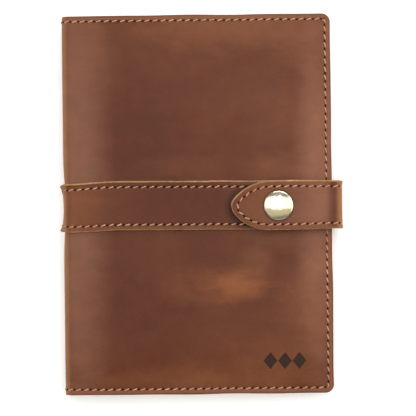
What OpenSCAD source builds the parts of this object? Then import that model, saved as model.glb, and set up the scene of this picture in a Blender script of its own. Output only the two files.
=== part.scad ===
// Leather cover for an A5 notebook, closed by a stitched belt strap with a press stud.
// The cover lies closed on its back: +X runs from the spine to the fore edge, +Y to the head, +Z up.

/* [Cover] */
// Width of the closed cover, from spine to fore edge
cover_w = 156; // [156:1:170]
// Height of the cover
cover_h = 220; // [218:1:240]
// Thickness of the cover leather
cover_t = 1.6; // [1.4:0.1:1.8]
// Outer radius of the two folds of the spine
spine_r = 4.5; // [3.5:0.5:4.5]
// Radius of the corners at the fore edge
corner_r = 5; // [4:0.5:8]
// Width of each inside pocket
pocket_w = 72; // [40:1:110]
// Thickness of the pocket leather
pocket_t = 1; // [0.9:0.1:1.4]

/* [Notebook] */
// Width of the notebook's boards
board_w = 148; // [140:1:148]
// Height of the notebook's boards
board_h = 210; // [200:1:210]
// Thickness of each board
board_t = 1; // [0.6:0.1:1.4]
// Thickness of the block of pages
block_t = 10; // [8:0.5:14]
// Thickness of the cloth on the back of the block
binding_t = 0.4; // [0.2:0.1:0.6]

/* [Strap] */
// Width of the strap
strap_w = 28.5; // [26:0.5:32]
// Thickness of the strap's outer leather
strap_outer_t = 1.3; // [1.2:0.1:1.5]
// Thickness of the strap's lining
strap_lining_t = 1.1; // [1:0.1:1.3]
// Place of the strap's middle line, from the middle of the cover
strap_y = -1; // [-10:0.5:10]
// How far the strap stands out past the fore edge
strap_reach = 5.4; // [5.2:0.2:9]
// Outer radius of the strap's two bends beside the fore edge
bend_r = 5; // [4:0.5:5]
// Length of the tab, from the strap's outermost point to the tip
tab_l = 64; // [60:0.2:75]
// Length of the pointed end of the tab
point_l = 21.4; // [16:0.2:24]
// Length of the front run of the strap, from the spine
front_run_l = 144; // [130:1:148]

/* [Press stud] */
// Diameter of the cap
cap_d = 17; // [15:0.5:18]
// Height of the cap's dome
cap_rise = 2.6; // [2:0.1:3]
// Distance of the press stud from the strap's outermost point
stud_from_bend = 36.9; // [34:0.1:40]
// Outer diameter of the socket
socket_d = 12; // [11:0.5:13]
// Height of the socket
socket_h = 3.4; // [3.2:0.1:4]
// Diameter of the stud's head
stud_head_d = 5.8; // [5:0.1:6]

/* [Stitching] */
// Distance from one stitch to the next
stitch_pitch = 4.7; // [4:0.1:6]
// Length of thread that shows in each stitch
stitch_l = 3.7; // [3:0.1:3.8]
// Thickness of the thread
thread_d = 0.8; // [0.6:0.05:0.8]
// Distance from a leather edge to its row of stitches
stitch_inset = 3.3; // [3:0.1:3.4]

/* [Hidden] */
$fn = 72;

fit = 0.1;         // play between pieces that lie on each other
move_gap = 0.3;    // gap between pieces that move apart
board_lip = 0.8;   // how far the boards stand out past the pages at the fore edge
head_lip = 0.5;    // the same at head and foot
cut = 1;           // how far a cutting shape runs past what it cuts
far = 400;         // reaches past the whole cover
groove_w = thread_d + 0.2;
groove_d = thread_d + 0.06;
strap_t = strap_outer_t + strap_lining_t;

// Heights of the layers, from the strap's underside up
back_z = strap_t;
back_in_z = back_z + cover_t;
back_flap_z = back_in_z + board_t + 2 * fit;
block_z = back_flap_z + pocket_t + fit;
block_top_z = block_z + block_t;
front_flap_z = block_top_z + move_gap;
front_in_z = front_flap_z + pocket_t + board_t + 2 * fit;
front_z = front_in_z + cover_t;
front_run_z = front_z + strap_t;
stud_flange_t = 0.6;
socket_z = front_run_z + stud_flange_t + fit;
tab_z = socket_z + socket_h;
tab_top_z = tab_z + strap_t;

// Places along X: the origin is midway between the strap's outermost faces
spine_x = (strap_t - strap_reach - cover_w) / 2;
fore_x = spine_x + cover_w;
loop_x = fore_x + strap_reach;
board_x = fore_x - stitch_inset - thread_d - fit - board_w;
block_x = board_x + binding_t;
block_w = board_w - binding_t - board_lip;
block_h = board_h - 2 * head_lip;
tab_tip_x = loop_x - tab_l;
point_x = tab_tip_x + point_l;
stud_x = loop_x - stud_from_bend;
front_end_x = spine_x + front_run_l;
pocket_x = fore_x - pocket_w;

// Centres of the folds and bends, in the XZ plane
fold_low = [spine_x + spine_r, back_z + spine_r];
fold_high = [spine_x + spine_r, front_z - spine_r];
bend_low = [loop_x - bend_r, bend_r];
bend_high = [loop_x - bend_r, tab_top_z - bend_r];

// Press stud
sheet_t = 0.5;       // sheet brass
hole_r = 1.9;        // hole punched in the leather
tube_r = 1.75;       // rivet tubes that pass through it
flange_r = 5;
spread_r = 2.35;     // end of the post, spread out inside the socket
neck_r = 2.3;
neck_h = 1.1;
head_h = 0.9;
socket_bore_r = stud_head_d / 2 + 0.4;
socket_roof_t = 0.8;
spring_d = 0.6;
spring_z = 0.3;
spring_l = 6;
spring_room_r = socket_d / 2 - 1;

// The tab's pointed end is made by two arcs
half_w = strap_w / 2;
point_r = (point_l * point_l + half_w * half_w) / (2 * half_w);

leather = "#7a4a35";
leather_back = "#a5754a";
thread = "#c68f6e";
brass = "#cdbb8c";

// ---- Sections in the XZ plane -------------------------------------------------------------

// Stretches a section drawn in the XZ plane from y0 to y1
module along_y(y0, y1)
    translate([0, y1, 0]) rotate([90, 0, 0]) linear_extrude(y1 - y0) children();

// Box in XZ from x0 to x1 whose two corners at x0 are rounded; x0 may be the right hand side
module round_box(x0, x1, z0, z1, r) {
    inner_x = x0 < x1 ? x0 + r : x0 - r;
    translate([min(inner_x, x1), z0]) square([abs(x1 - inner_x), z1 - z0]);
    translate([min(inner_x, x0), z0 + r]) square([r, z1 - z0 - 2 * r]);
    translate([inner_x, z0 + r]) circle(r);
    translate([inner_x, z1 - r]) circle(r);
}

// Outline of the closed cover, grown outwards
module book_outline(grow)
    round_box(spine_x - grow, far - grow, back_z - grow, front_z + grow, spine_r + grow);

// Layer of leather around the closed cover, between two amounts of growth
module book_layer(outer, inner)
    difference() {
        book_outline(outer);
        book_outline(inner);
    }

// Outline of the strap's loop beside the fore edge, shrunk inwards
module loop_outline(shrink)
    round_box(loop_x - shrink, shrink - far, shrink, tab_top_z - shrink, bend_r - shrink);

module loop_layer(outer, inner)
    difference() {
        loop_outline(outer);
        loop_outline(inner);
    }

// Zones that share the layers out between the pieces: they meet on the diagonals of the folds
module back_zone()
    translate([move_gap / 2, 0]) polygon([
        fold_low, fold_low + far * [-1, -1], [far, fold_low[1] - far], [far, fold_low[1]]
    ]);

module spine_zone()
    translate([-move_gap / 2, 0]) polygon([
        fold_high, fold_high + far * [-1, 1], fold_low + far * [-1, -1], fold_low
    ]);

module front_zone()
    translate([move_gap / 2, 0]) polygon([
        fold_high, fold_high + far * [-1, 1], [far, fold_high[1] + far], [far, fold_high[1]]
    ]);

module loop_back_zone()
    translate([-move_gap / 2, 0]) polygon([
        bend_low, bend_low + far * [1, -1], [0, bend_low[1] - far], [0, bend_low[1]]
    ]);

module side_zone()
    translate([move_gap / 2, 0]) polygon([
        bend_high, bend_high + far * [1, 1], bend_low + far * [1, -1], bend_low
    ]);

module tab_zone()
    translate([-move_gap / 2, 0]) polygon([
        bend_high, bend_high + far * [1, 1], [-far, bend_high[1] + far], [-far, bend_high[1]]
    ]);

// Section of the strap's back run: it follows the cover on the left and the loop on the right
module back_run_section(book_outer, book_inner, loop_outer, loop_inner) {
    intersection() {
        book_layer(book_outer, book_inner);
        back_zone();
        translate([-far, -far]) square([far + cut, 2 * far]);
    }
    intersection() {
        loop_layer(loop_outer, loop_inner);
        loop_back_zone();
    }
}

// ---- Plans in the XY plane ----------------------------------------------------------------

// Plan of the cover with its two round corners at the fore edge, shrunk inwards
module cover_plan(shrink) {
    r = corner_r - shrink;
    half = cover_h / 2 - shrink;
    right = fore_x - shrink;
    translate([-far, -half]) square([far + right - r, 2 * half]);
    translate([0, -half + r]) square([right, 2 * half - 2 * r]);
    for (side = [-1, 1]) translate([right - r, side * (half - r)]) circle(r);
}

// Plan of the tab, shrunk inwards: two arcs meet at the tip
module tab_plan(shrink) {
    translate([0, strap_y]) {
        intersection() {
            translate([point_x, half_w - point_r]) circle(point_r - shrink);
            translate([point_x, point_r - half_w]) circle(point_r - shrink);
            translate([point_x - far, -far]) square([far + cut / 2, 2 * far]);
        }
        translate([point_x, shrink - half_w]) square([far, 2 * (half_w - shrink)]);
    }
}

module ring(middle)
    if (middle == "cover") difference() {
        cover_plan(stitch_inset - groove_w / 2);
        cover_plan(stitch_inset + groove_w / 2);
    }
    else difference() {
        tab_plan(stitch_inset - groove_w / 2);
        tab_plan(stitch_inset + groove_w / 2);
    }

// ---- Stitching ----------------------------------------------------------------------------

// Row of stitches from one point to another
module stitch_row(start, end) {
    run = end - start;
    count = floor(norm(run) / stitch_pitch);
    for (i = [0 : count - 1])
        translate(start + run * (i + 0.5) / count)
            rotate([0, acos(run[2] / norm(run)), atan2(run[1], run[0])])
                cylinder(d = thread_d, h = stitch_l, center = true);
}

// Both rows along a stretch of strap, between two points of the XZ plane
module strap_rows(start, end)
    for (side = [-1, 1]) {
        y = strap_y + side * (half_w - stitch_inset);
        stitch_row([start[0], y, start[1]], [end[0], y, end[1]]);
    }

// Rows around three sides of a cover face, at height z, from x to the fore edge
module cover_rows(x, z) {
    right = fore_x - stitch_inset;
    top = cover_h / 2 - stitch_inset;
    turn = corner_r - stitch_inset;
    for (side = [-1, 1]) stitch_row([x, side * top, z], [right - turn, side * top, z]);
    stitch_row([right, turn - top, z], [right, top - turn, z]);
}

// Groove that the cover's stitches lie in, on its outer face
module cover_groove()
    intersection() {
        along_y(-far, far) book_layer(cut, -groove_d);
        linear_extrude(far) ring("cover");
    }

// The two grooves of the strap, cut into whatever layer the section names
module strap_grooves()
    for (side = [-1, 1]) {
        y = strap_y + side * (half_w - stitch_inset);
        along_y(y - groove_w / 2, y + groove_w / 2) children();
    }

// ---- Cover --------------------------------------------------------------------------------

module cover_piece() difference() {
    intersection() {
        along_y(-cover_h / 2, cover_h / 2) intersection() {
            book_layer(0, -cover_t);
            children();
        }
        linear_extrude(far) cover_plan(0);
    }
    cover_groove();
}

module back_panel() color(leather) cover_piece() back_zone();
module spine_panel() color(leather) cover_piece() spine_zone();
module front_panel() color(leather) cover_piece() front_zone();

// Pocket sewn to a panel on three sides and open to the spine; z0 is its face on the panel,
// and grow is +1 if it stands up from there and -1 if it hangs down
module pocket(z0, grow) {
    slot_t = board_t + 2 * fit;
    whole_t = slot_t + pocket_t;
    face_z = z0 + grow * whole_t;
    difference() {
        translate([0, 0, min(z0, face_z)]) linear_extrude(whole_t) intersection() {
            cover_plan(0);
            translate([pocket_x, -far]) square([far, 2 * far]);
        }
        translate([pocket_x - cut, -board_h / 2 - fit, min(z0, z0 + grow * slot_t)])
            cube([board_x + board_w + fit - pocket_x + cut, board_h + 2 * fit, slot_t]);
        translate([0, 0, face_z - groove_d]) linear_extrude(2 * groove_d) ring("cover");
    }
}

module back_pocket() color(leather_back) pocket(back_in_z, 1);
module front_pocket() color(leather_back) pocket(front_in_z, -1);

module back_thread() color(thread) {
    cover_rows(fold_low[0], back_z + thread_d / 2);
    cover_rows(pocket_x, back_flap_z + pocket_t - thread_d / 2);
}

module front_thread() color(thread) {
    cover_rows(fold_high[0], front_z - thread_d / 2);
    cover_rows(pocket_x, front_flap_z + thread_d / 2);
}

module spine_thread() color(thread)
    for (side = [-1, 1]) {
        y = side * (cover_h / 2 - stitch_inset);
        x = spine_x + thread_d / 2;
        stitch_row([x, y, fold_low[1]], [x, y, fold_high[1]]);
    }

// ---- Notebook -----------------------------------------------------------------------------

module board(z) translate([board_x, -board_h / 2, z]) cube([board_w, board_h, board_t]);

module back_board() color("#3b2f28") board(back_in_z + fit);
module front_board() color("#3b2f28") board(front_in_z - fit - board_t);
module page_block() color("#efe8d6")
    translate([block_x, -block_h / 2, block_z]) cube([block_w, block_h, block_t]);
module binding_cloth() color("#2e2622")
    translate([block_x - binding_t, -block_h / 2, block_z]) cube([binding_t, block_h, block_t]);

// ---- Strap --------------------------------------------------------------------------------

module strap_length() along_y(strap_y - half_w, strap_y + half_w) children();

module strap_back_outer() color(leather) difference() {
    strap_length() back_run_section(strap_t, strap_lining_t, 0, strap_outer_t);
    strap_grooves() back_run_section(strap_t + cut, strap_t - groove_d, -cut, groove_d);
}
module strap_back_lining() color(leather_back)
    strap_length() back_run_section(strap_lining_t, 0, strap_outer_t, strap_t);
module strap_back_thread() color(thread)
    strap_rows([fold_low[0], thread_d / 2], [bend_low[0], thread_d / 2]);

module strap_spine_outer() color(leather) difference() {
    strap_length() intersection() {
        book_layer(strap_t, strap_lining_t);
        spine_zone();
    }
    strap_grooves() book_layer(strap_t + cut, strap_t - groove_d);
}
module strap_spine_lining() color(leather_back)
    strap_length() intersection() {
        book_layer(strap_lining_t, 0);
        spine_zone();
    }
module strap_spine_thread() color(thread) {
    x = spine_x - strap_t + thread_d / 2;
    strap_rows([x, fold_low[1]], [x, fold_high[1]]);
}

// A layer of the strap's front run, cut off at its end, with the hole for the press stud
module front_run(outer, inner) difference() {
    strap_length() intersection() {
        book_layer(outer, inner);
        front_zone();
        translate([front_end_x - far, 0]) square([far, far]);
    }
    at_stud(front_z - cut) cylinder(r = hole_r, h = strap_t + 2 * cut);
}

module strap_front_outer() color(leather) difference() {
    front_run(strap_t, strap_lining_t);
    strap_grooves() book_layer(strap_t + cut, strap_t - groove_d);
}
module strap_front_lining() color(leather_back) difference() {
    front_run(strap_lining_t, 0);
    at_stud(front_z - cut) cylinder(r = flange_r + fit, h = cut + sheet_t);
}
module strap_front_thread() color(thread) {
    z = front_run_z - thread_d / 2;
    strap_rows([fold_high[0], z], [front_end_x, z]);
}

module strap_side_outer() color(leather) difference() {
    strap_length() intersection() {
        loop_layer(0, strap_outer_t);
        side_zone();
    }
    strap_grooves() loop_layer(-cut, groove_d);
}
module strap_side_lining() color(leather_back)
    strap_length() intersection() {
        loop_layer(strap_outer_t, strap_t);
        side_zone();
    }
module strap_side_thread() color(thread) {
    x = loop_x - thread_d / 2;
    strap_rows([x, bend_low[1]], [x, bend_high[1]]);
}

// A layer of the tab with its pointed end and the hole for the press stud
module tab_layer(outer, inner) difference() {
    intersection() {
        strap_length() intersection() {
            loop_layer(outer, inner);
            tab_zone();
        }
        linear_extrude(far) tab_plan(0);
    }
    at_stud(tab_z - cut) cylinder(r = hole_r, h = strap_t + 2 * cut);
}

module strap_tab_outer() color(leather) difference() {
    tab_layer(0, strap_outer_t);
    intersection() {
        along_y(-far, far) loop_layer(-cut, groove_d);
        linear_extrude(far) ring("tab");
    }
}
module strap_tab_lining() color(leather_back) tab_layer(strap_outer_t, strap_t);

// Stitches along the tab: two straight rows, and one along each arc of the point
module strap_tab_thread() color(thread) {
    z = tab_top_z - thread_d / 2;
    row_r = point_r - stitch_inset;
    arc_deg = acos((point_r - half_w) / row_r);
    count = floor(row_r * arc_deg * PI / 180 / stitch_pitch);
    strap_rows([point_x, z], [bend_high[0], z]);
    for (side = [-1, 1], i = [0 : count - 1]) {
        turn = (i + 0.5) * arc_deg / count;
        translate([point_x, strap_y + side * (half_w - point_r), z])
            rotate([0, 0, 90 + side * turn - (side < 0 ? 180 : 0)])
                translate([row_r, 0, 0])
                    rotate([90, 0, 0]) cylinder(d = thread_d, h = stitch_l, center = true);
    }
}

// ---- Press stud ---------------------------------------------------------------------------

module at_stud(z) translate([stud_x, strap_y, z]) children();

// Solid dome with a flat base of radius r and height h
module dome(r, h) {
    ball_r = (r * r + h * h) / (2 * h);
    intersection() {
        translate([0, 0, h - ball_r]) sphere(ball_r);
        cylinder(r = r, h = h);
    }
}

// Domed sheet cap that hides the flange of its post
module snap_cap() color(brass) at_stud(tab_top_z) difference() {
    dome(cap_d / 2, cap_rise);
    translate([0, 0, -fit / 10]) dome(cap_d / 2 - sheet_t, cap_rise - sheet_t);
}

// Rivet post: a flange inside the cap and a tube through the tab, spread out in the socket
module snap_post() color(brass) at_stud(0) {
    translate([0, 0, tab_top_z]) cylinder(r = flange_r, h = sheet_t);
    translate([0, 0, tab_z - socket_roof_t]) cylinder(r = tube_r, h = strap_t + socket_roof_t);
    translate([0, 0, tab_z - socket_roof_t - sheet_t]) cylinder(r = spread_r, h = sheet_t);
}

// Female half: a ring with a roof that the post is riveted through
module snap_socket() color(brass) at_stud(socket_z) difference() {
    cylinder(d = socket_d, h = socket_h);
    translate([0, 0, -cut]) cylinder(r = socket_bore_r, h = socket_h - socket_roof_t + cut);
    cylinder(r = tube_r + fit / 2, h = socket_h + cut);
    translate([0, 0, spring_z - fit]) cylinder(r = spring_room_r, h = spring_d + 2 * fit);
}

// Spring wires that grip the neck of the stud, one on each side
module snap_spring() color("silver") at_stud(socket_z + spring_z + spring_d / 2)
    for (side = [-1, 1])
        translate([0, side * (neck_r + fit + spring_d / 2), 0])
            rotate([0, 90, 0]) cylinder(d = spring_d, h = spring_l, center = true);

// Male half: a flange on the front run, a waisted neck and a round head
module snap_stud() color(brass) at_stud(front_run_z) {
    cylinder(r = flange_r, h = stud_flange_t);
    translate([0, 0, stud_flange_t]) cylinder(r = neck_r, h = neck_h);
    translate([0, 0, stud_flange_t + neck_h]) dome(stud_head_d / 2, head_h);
}

// Eyelet: a flange under the front run and a tube up through it into the stud
module snap_eyelet() color(brass) at_stud(front_z) {
    cylinder(r = flange_r, h = sheet_t);
    cylinder(r = tube_r, h = strap_t);
}

back_panel();
back_pocket();
back_thread();
back_board();
page_block();
binding_cloth();
strap_back_outer();
strap_back_lining();
strap_back_thread();
spine_panel();
spine_thread();
strap_spine_outer();
strap_spine_lining();
strap_spine_thread();
front_panel();
front_pocket();
front_thread();
front_board();
strap_front_outer();
strap_front_lining();
strap_front_thread();
snap_stud();
snap_eyelet();
strap_side_outer();
strap_side_lining();
strap_side_thread();
strap_tab_outer();
strap_tab_lining();
strap_tab_thread();
snap_cap();
snap_post();
snap_socket();
snap_spring();
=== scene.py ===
"""Looks of the leather notebook cover: leather, stitching, press stud and notebook."""

import math

import bpy
import numpy as np
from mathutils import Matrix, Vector


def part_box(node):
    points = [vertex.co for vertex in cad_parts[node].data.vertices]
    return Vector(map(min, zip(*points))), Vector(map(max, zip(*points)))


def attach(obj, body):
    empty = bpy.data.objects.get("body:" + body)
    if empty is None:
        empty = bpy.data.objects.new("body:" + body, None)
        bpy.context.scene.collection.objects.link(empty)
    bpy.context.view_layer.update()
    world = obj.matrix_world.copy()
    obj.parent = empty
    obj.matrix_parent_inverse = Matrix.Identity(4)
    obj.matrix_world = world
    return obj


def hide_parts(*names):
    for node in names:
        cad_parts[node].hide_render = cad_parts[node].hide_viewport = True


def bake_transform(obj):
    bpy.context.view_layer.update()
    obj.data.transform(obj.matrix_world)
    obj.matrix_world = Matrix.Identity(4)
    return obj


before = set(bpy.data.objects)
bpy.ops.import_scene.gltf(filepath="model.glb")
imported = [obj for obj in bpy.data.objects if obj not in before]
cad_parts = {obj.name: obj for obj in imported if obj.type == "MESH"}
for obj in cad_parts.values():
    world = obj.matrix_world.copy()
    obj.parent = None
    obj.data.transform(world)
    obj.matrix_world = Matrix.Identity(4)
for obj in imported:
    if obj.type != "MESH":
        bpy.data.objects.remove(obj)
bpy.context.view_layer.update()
MM = 0.001


def box_mm(node):
    return [np.array(corner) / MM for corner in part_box(node)]


# ---- Sizes, in millimetres -------------------------------

_, front_high = box_mm("front_panel")
spine_low, _ = box_mm("spine_panel")
back_low, _ = box_mm("back_panel")
run_low, run_high = box_mm("strap_front_outer")
tab_low, tab_high = box_mm("strap_tab_outer")
_, side_high = box_mm("strap_side_outer")
cap_low, cap_high = box_mm("snap_cap")
pocket_low, _ = box_mm("front_pocket")
board_low, board_high = box_mm("front_board")
block_low, block_high = box_mm("page_block")

SPINE_X = spine_low[0]
FORE_X = front_high[0]
HALF_H = front_high[1]
TOP_Z = front_high[2]
MID_Z = (front_high[2] + back_low[2]) / 2
STRAP_Y = (run_low[1] + run_high[1]) / 2
HALF_W = (run_high[1] - run_low[1]) / 2
STRAP_T = run_high[2] - TOP_Z
RUN_END = run_high[0]
TAB_Z = tab_high[2]
LOOP_X = side_high[0]
STUD_X = (cap_low[0] + cap_high[0]) / 2
CAP_R = (cap_high[0] - cap_low[0]) / 2
CAP_H = cap_high[2] - cap_low[2]

# As in the CAD, where the frame's boxes don't give them
COVER_T = 1.6
LINING_T = 1.1
POCKET_T = 1.0
FOLD_R = 4.5
BEND_R = 5.0
CORNER_R = 5.0
STITCH_IN = 3.3
PITCH = 4.7

# The tab's point runs out a little further and softer than in the CAD: two arcs and a round nose
TAB_TIP = tab_low[0] - 1.4
POINT_L = 24.0
POINT_X = TAB_TIP + POINT_L
TAB_R = (POINT_L**2 + HALF_W**2) / (2 * HALF_W)
NOSE_R = 7.0

# Three lozenges pressed into the front
STAMP_X, STAMP_Y, STAMP_W, STAMP_H = (39.6, 48.0, 56.4), -91.0, 3.9, 4.9
STAMP_DEPTH = 0.3
STAMP_TONE = (0.022, 0.012, 0.009)

# How far the cover sinks at its edges and spine and swells between them, over which distance, its waves,
# and how the strap pulls the spine in
EDGE_SINK, EDGE_FADE, CORNER_BLEND = 0.8, 18, 2.5
SPINE_SINK, SPINE_FADE = 1.9, 27
SWELL, SWELL_FADE, SWELL_SPINE_FADE = 0.8, 32, 40
WAVE, WAVE_L, SMALL_WAVE, SMALL_WAVE_L = 0.1, 80, 0.04, 30
WAVE_SEED = {1: 11, -1: 23}
PINCH, PINCH_W = 1.55, 16

# Grooves that the stitches lie in
GROOVE, GROOVE_W = 0.28, 0.65
STRAP_GROOVE, STRAP_GROOVE_W = 0.26, 0.6

# Gap left between two pieces that lie on each other
AIR = 0.03


# ---- Small tools -----------------------------------------


def smooth(t):
    t = np.clip(t, 0, 1)
    return t * t * (3 - 2 * t)


def bell(d, width):
    """1 where d is 0, fading away on both sides."""
    return np.exp(-((d / width) ** 2))


def ripple(x, y, length, seed):
    """Smooth unevenness, mostly between -1 and 1, with waves of about this length."""
    rng = np.random.default_rng(seed)
    out = np.zeros(np.broadcast(x, y).shape)
    for _ in range(6):
        way, turn = rng.uniform(0, 2 * math.pi, 2)
        k = 2 * math.pi / length * rng.uniform(0.6, 1.5)
        out = out + np.sin(k * (x * math.cos(way) + y * math.sin(way)) + turn)
    return out / 3


def between(at, places, values):
    """Rows of three values, found in between the places where they are known."""
    return np.stack([np.interp(at, places, values[:, k]) for k in range(3)], -1)


def unit(v):
    return v / np.maximum(np.linalg.norm(v, axis=-1, keepdims=True), 1e-9)


def add_object(name, data):
    obj = bpy.data.objects.new(name, data)
    bpy.context.scene.collection.objects.link(obj)
    return obj


def mesh_object(name, verts, faces, materials, face_material=None):
    """Mesh from points in millimetres. Each point also keeps its place at rest, for the materials."""
    verts = np.asarray(verts, float) * MM
    mesh = bpy.data.meshes.new(name)
    mesh.from_pydata(verts.tolist(), [], [list(map(int, f)) for f in faces])
    mesh.attributes.new("rest_place", "FLOAT_VECTOR", "POINT").data.foreach_set("vector", verts.ravel())
    for m in materials:
        mesh.materials.append(m)
    if face_material is not None:
        mesh.polygons.foreach_set("material_index", np.asarray(face_material, int))
    mesh.polygons.foreach_set("use_smooth", [True] * len(mesh.polygons))
    mesh.update()
    return add_object(name, mesh)


def grid_faces(ni, nj, start=0):
    """Quads of a grid of points, the rows one after another from this index."""
    i, j = np.meshgrid(np.arange(ni - 1), np.arange(nj - 1), indexing="ij")
    a = (start + i * nj + j).ravel()
    return np.stack([a, a + nj, a + nj + 1, a + 1], 1)


# Rows of points round a sheet's edge between its faces, and how far an end that joins the next piece is
# hollowed, so that it stays out of sight
RIM_RINGS, JOIN_HOLLOW = 4, 0.3


def slab(name, outer, inner, materials, bulge):
    """Sheet of leather, card or cloth between two grids of points, with rounded edges.
    bulge is how far the edge stands out on each side: first row, last row, first column, last column.
    A side with none joins the next piece."""
    ni, nj = outer.shape[:2]
    loop = (
        [(i, 0) for i in range(ni)]
        + [(ni - 1, j) for j in range(1, nj)]
        + [(i, nj - 1) for i in range(ni - 2, -1, -1)]
        + [(0, j) for j in range(nj - 2, 0, -1)]
    )
    ii, jj = np.array(loop).T
    top, bottom = outer[ii, jj], inner[ii, jj]
    mid, up = (top + bottom) / 2, (top - bottom) / 2
    sides = [(ii == 0, bulge[0]), (ii == ni - 1, bulge[1]), (jj == 0, bulge[2]), (jj == nj - 1, bulge[3])]
    stand = np.zeros(len(loop))
    flat = np.zeros(len(loop), bool)
    for on, e in sides:
        stand = np.where(on, np.maximum(stand, e), stand)
        flat |= on & (e == 0)
    ahead, behind = np.roll(mid, -1, 0) - mid, mid - np.roll(mid, 1, 0)
    tangent = unit(ahead) + unit(behind)
    turn = flat & (stand > 0)
    tangent[turn & ~np.roll(flat, -1)] = ahead[turn & ~np.roll(flat, -1)]
    tangent[turn & ~np.roll(flat, 1)] = behind[turn & ~np.roll(flat, 1)]
    stand = np.where(flat & ~turn, -JOIN_HOLLOW, stand)
    out = unit(np.cross(tangent, up))
    middle = outer[np.clip(ii, 1, ni - 2), np.clip(jj, 1, nj - 2)]
    if np.sum(out * (top - middle)) < 0:
        out = -out
    rim = [top]
    for a in np.arange(1, RIM_RINGS + 1) * math.pi / (RIM_RINGS + 1):
        rim.append(mid + up * math.cos(a) + out * (stand * math.sin(a))[:, None])
    rim.append(bottom)
    # The rim shares its points with the faces, but where the next piece joins it has its own, so that
    # the faces' shading runs on smoothly there
    verts = np.concatenate([outer.reshape(-1, 3), inner.reshape(-1, 3), *rim, *rim])
    n, base = len(loop), ni * nj
    shared = [2 * base + k * n + np.arange(n) for k in range(len(rim))]
    shared[0], shared[-1] = ii * nj + jj, base + ii * nj + jj
    own = [2 * base + (len(rim) + k) * n + np.arange(n) for k in range(len(rim))]
    joins = flat & np.roll(flat, -1)
    faces, kinds = [grid_faces(ni, nj), grid_faces(ni, nj, base)[:, ::-1]], [0, 1]
    for rows, kept, kind in ((shared, ~joins, 2), (own, joins, 0)):
        for a, b in zip(rows, rows[1:]):
            faces.append(np.stack([np.roll(a, -1), a, b, np.roll(b, -1)], 1)[kept])
            kinds.append(kind)
    kinds = np.concatenate([np.full(len(f), kind) for f, kind in zip(faces, kinds)])
    faces = np.concatenate(faces)
    across = np.cross(outer[1:, :-1] - outer[:-1, :-1], outer[:-1, 1:] - outer[:-1, :-1])
    if np.sum(across * (outer - inner)[:-1, :-1]) < 0:
        faces = faces[:, ::-1]
    used, index = np.unique(faces, return_inverse=True)
    return mesh_object(name, verts[used], index.reshape(-1, 4), materials, kinds)


def lathe(name, profile, centre, material, steps=96):
    """Solid of revolution about a vertical axis.
    profile is a list of (radius, height), from the axis out and back to it."""
    ring = [(r, z) for r, z in profile if r > 0]
    a = np.arange(steps) * 2 * math.pi / steps
    verts = [np.array([[0, 0, profile[0][1]]]), np.array([[0, 0, profile[-1][1]]])]
    for r, z in ring:
        verts.append(np.stack([r * np.cos(a), r * np.sin(a), np.full(steps, z)], 1))
    faces = []
    for s in range(steps):
        t = (s + 1) % steps
        for k in range(len(ring) - 1):
            low = 2 + k * steps
            faces.append([low + s, low + t, low + steps + t, low + steps + s][::-1])
        last = 2 + (len(ring) - 1) * steps
        faces.append([0, 2 + t, 2 + s][::-1])
        faces.append([1, last + s, last + t][::-1])
    return mesh_object(name, np.concatenate(verts) + np.array(centre), faces, [material])


# ---- Shape of the cover ----------------------------------


def inset(x, y):
    """Distance inwards from the cover's outline: fore edge, head and foot, with round corners."""
    fore, end = FORE_X - x, HALF_H - np.abs(y)
    corner = (fore < CORNER_R) & (end < CORNER_R)
    return np.where(corner, CORNER_R - np.hypot(CORNER_R - fore, CORNER_R - end), np.minimum(fore, end))


def pinch(y):
    """How far the spine is pulled in."""
    return PINCH * bell(y - STRAP_Y, PINCH_W)


def stamped_in(x, y):
    """1 inside the three lozenges pressed into the front cover, with sloping sides, and 0 outside."""
    away = [np.abs(x - middle) / STAMP_W + np.abs(y - STAMP_Y) / STAMP_H for middle in STAMP_X]
    return 1 - smooth((np.min(away, axis=0) - 0.9) / 0.18)


def sink(x, y, face, groove=True):
    """How far the leather's outer face lies below the flat face of the CAD."""
    seed = WAVE_SEED[face]
    fore, end = FORE_X - x, HALF_H - np.abs(y)
    d = -CORNER_BLEND * np.log(np.exp(-fore / CORNER_BLEND) + np.exp(-end / CORNER_BLEND))
    along = x - SPINE_X
    out = EDGE_SINK * (1 - smooth((d - 1) / EDGE_FADE)) + SPINE_SINK * (1 - smooth(along / SPINE_FADE))
    pillow = smooth(fore / SWELL_FADE) * smooth(end / SWELL_FADE) * smooth(along / SWELL_SPINE_FADE)
    out = out - SWELL * pillow * (1 - bell(y - STRAP_Y, SWELL_FADE))
    out = out + WAVE + WAVE * ripple(x, y, WAVE_L, seed) + SMALL_WAVE * ripple(x, y, SMALL_WAVE_L, seed + 1)
    if groove:
        out = out + GROOVE * bell(inset(x, y) - STITCH_IN, GROOVE_W)
        out = out + STAMP_DEPTH * stamped_in(x, y) * (face > 0)
    return out


def cover_point(t, y, face, groove=True):
    """Point on the cover's outer face.
    t runs 0 to 1 from the middle of the spine to its fold and 1 to 2 round the fold, and then counts
    millimetres along the panel. face is 1 at the front and -1 at the back."""
    turn = np.clip(t - 1, 0, 1) * math.pi / 2
    x = SPINE_X + pinch(y) + FOLD_R * (1 - np.cos(turn)) + np.maximum(t - 2, 0)
    z = TOP_Z - sink(x, y, face, groove) - FOLD_R * (1 - np.sin(turn))
    z = MID_Z + (z - MID_Z) * np.clip(t, 0, 1)
    return np.stack(np.broadcast_arrays(x, y, MID_Z + face * (z - MID_Z)), -1)


def cover_normal(t, y, face):
    """Outward normal of the cover, without its grooves."""
    step = 0.02
    along = cover_point(t + step, y, face, False) - cover_point(np.maximum(t - step, 0), y, face, False)
    across = cover_point(t, y + step, face, False) - cover_point(t, y - step, face, False)
    n = unit(np.cross(along, across)) * face
    n[..., 2] = np.where(t <= 0, 0, n[..., 2])
    return unit(n)


def panel_t(x, y):
    """The t of cover_point at a place on the flat of the panel."""
    return 2 + x - (SPINE_X + pinch(y) + FOLD_R)


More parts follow.
